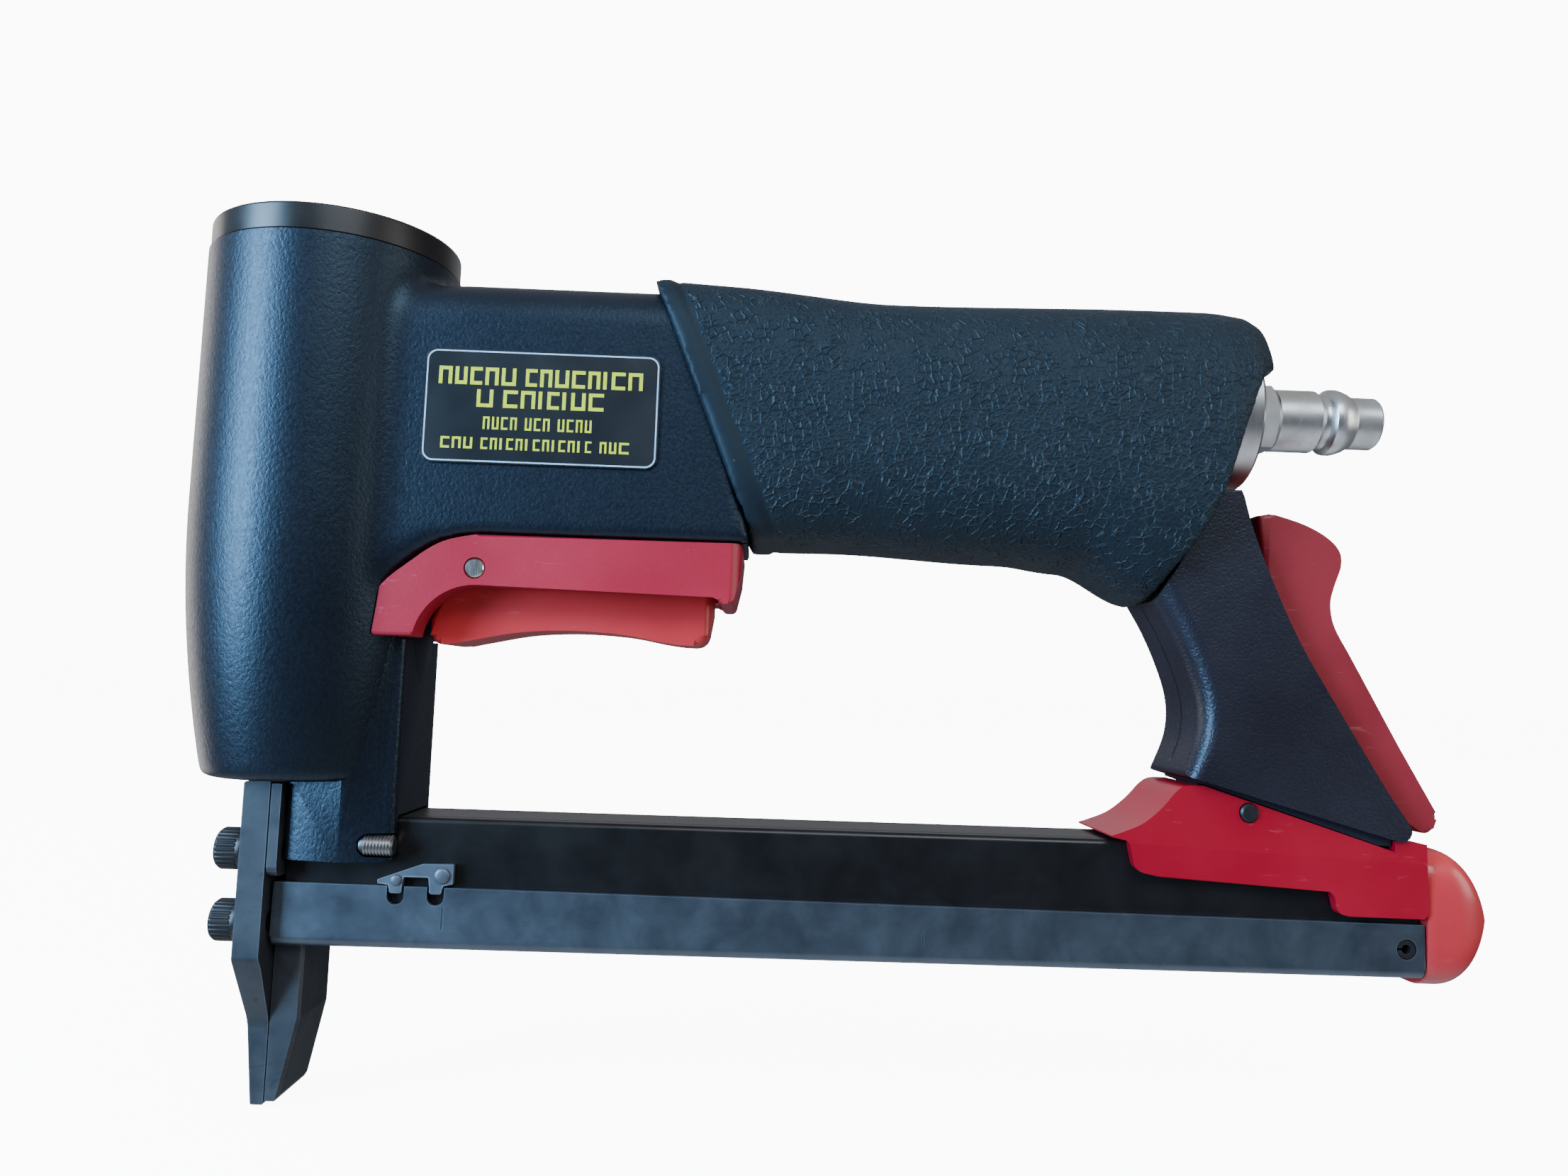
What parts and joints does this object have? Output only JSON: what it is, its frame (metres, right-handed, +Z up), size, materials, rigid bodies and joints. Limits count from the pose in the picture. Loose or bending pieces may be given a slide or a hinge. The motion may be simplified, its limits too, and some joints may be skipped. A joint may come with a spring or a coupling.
{
  "type": "pneumatic nail gun",
  "caption": "Pneumatic fine wire stapler with an upright barrel, rubber grip, red trigger and latch, long nose and a bottom magazine that slides open to the rear.",
  "frame": {"origin": "middle of the front plate's tip face, the end of the nose that is pressed on the work; the driver's axis is 1.8 mm behind it", "axes": "+X from the nose to the air inlet, along the magazine; +Z up along the barrel; -Y is the tool's left side, which carries the label"},
  "size_m": [0.2335, 0.0442, 0.1537],
  "materials": {
    "housing_paint": "fine textured black powder coat",
    "cap_plastic": "satin black plastic",
    "grip_rubber": "matt black rubber with leather grain",
    "strut_plastic": "black plastic, fine leather texture",
    "guard_red": "satin crimson plastic",
    "trigger_red": "satin red plastic",
    "saddle_red": "bright glossy crimson plastic",
    "lever_red": "satin dark red plastic",
    "bumper_orange": "glossy orange-red elastomer",
    "rail_steel": "black satin oxide",
    "slide_steel": "blue-grey gunmetal finish",
    "nose_steel": "dark phosphated steel",
    "clip_steel": "grey cast steel",
    "screw_steel": "black oxide",
    "bright_steel": "ground steel",
    "nickel": "satin nickel plate",
    "aluminium": "turned aluminium",
    "spring_steel": "bare spring wire",
    "seal_rubber": "matt black seal rubber",
    "label_film": "satin film"
  },
  "bodies": {
    "root": {"housing": "housing_paint", "top_cap": "cap_plastic", "cap_seal": "seal_rubber", "cylinder_sleeve": "aluminium", "piston_stop": "seal_rubber", "grip_sleeve": "grip_rubber", "handle_end_cap": "aluminium", "air_nipple": "nickel", "nipple_seal": "seal_rubber", "trigger_guard": "guard_red", "trigger_pin": "bright_steel", "valve_bushing": "bright_steel", "rear_strut": "strut_plastic", "latch_pin": "bright_steel", "magazine_saddle": "saddle_red", "saddle_pin": "screw_steel", "magazine_rail": "rail_steel", "nose_plate": "nose_steel", "nose_rear_guide": "nose_steel", "label_plate": "label_film", "nose_spacer_left": "nose_steel", "nose_spacer_right": "nose_steel", "leg_set_screw_left": "bright_steel", "leg_set_screw_right": "bright_steel", "nose_screw_1": "screw_steel", "nose_screw_2": "screw_steel", "nose_screw_3": "screw_steel", "nose_screw_4": "screw_steel"},
    "piston": {"piston": "aluminium", "piston_seal": "seal_rubber", "driver_blade": "bright_steel"},
    "trigger": {"trigger": "trigger_red"},
    "valve_stem": {"valve_stem": "bright_steel", "valve_spring": "spring_steel"},
    "latch_lever": {"latch_lever": "lever_red", "latch_spring": "spring_steel"},
    "slide": {"magazine_slide": "slide_steel", "slide_core": "bright_steel", "slide_end_block": "cap_plastic", "slide_roll_pin": "screw_steel", "guide_rod": "bright_steel", "end_bumper": "bumper_orange", "feed_clip_left": "clip_steel", "feed_clip_right": "clip_steel", "clip_rivet_1": "clip_steel", "clip_rivet_2": "clip_steel", "clip_rivet_3": "clip_steel", "clip_rivet_4": "clip_steel"},
    "pusher": {"pusher": "bright_steel", "pusher_spring": "spring_steel"}
  },
  "joints": [
    {"name": "trigger_pull", "type": "hinge", "parent": "root", "child": "trigger", "pos_m": [0.0339, 0, 0.0928], "axis": [0, -1, 0], "range_deg": [0, 5], "stiffness_Nm_per_rad": 1.2, "springref_deg": -14.32},
    {"name": "valve_lift", "type": "slide", "parent": "root", "child": "valve_stem", "axis": [0, 0, 1], "range_m": [0, 0.0018], "deforming": ["valve_spring"]},
    {"name": "piston_stroke", "type": "slide", "parent": "root", "child": "piston", "axis": [0, 0, -1], "range_m": [0, 0.0495]},
    {"name": "magazine_open", "type": "slide", "parent": "root", "child": "slide", "axis": [1, 0, 0], "range_m": [0, 0.11]},
    {"name": "latch_press", "type": "hinge", "parent": "root", "child": "latch_lever", "pos_m": [0.1803, 0, 0.077], "axis": [0, -1, 0], "range_deg": [0, 8], "stiffness_Nm_per_rad": 1, "springref_deg": -11.46, "deforming": ["latch_spring"]},
    {"name": "pusher_feed", "type": "slide", "parent": "slide", "child": "pusher", "axis": [1, 0, 0], "range_m": [0, 0.1], "stiffness_N_per_m": 25, "springref_m": -0.04, "deforming": ["pusher_spring"]}
  ],
  "couplings": [
    {"joint": "valve_lift", "follows": "trigger_pull", "m_per_rad": 0.0199}
  ]
}
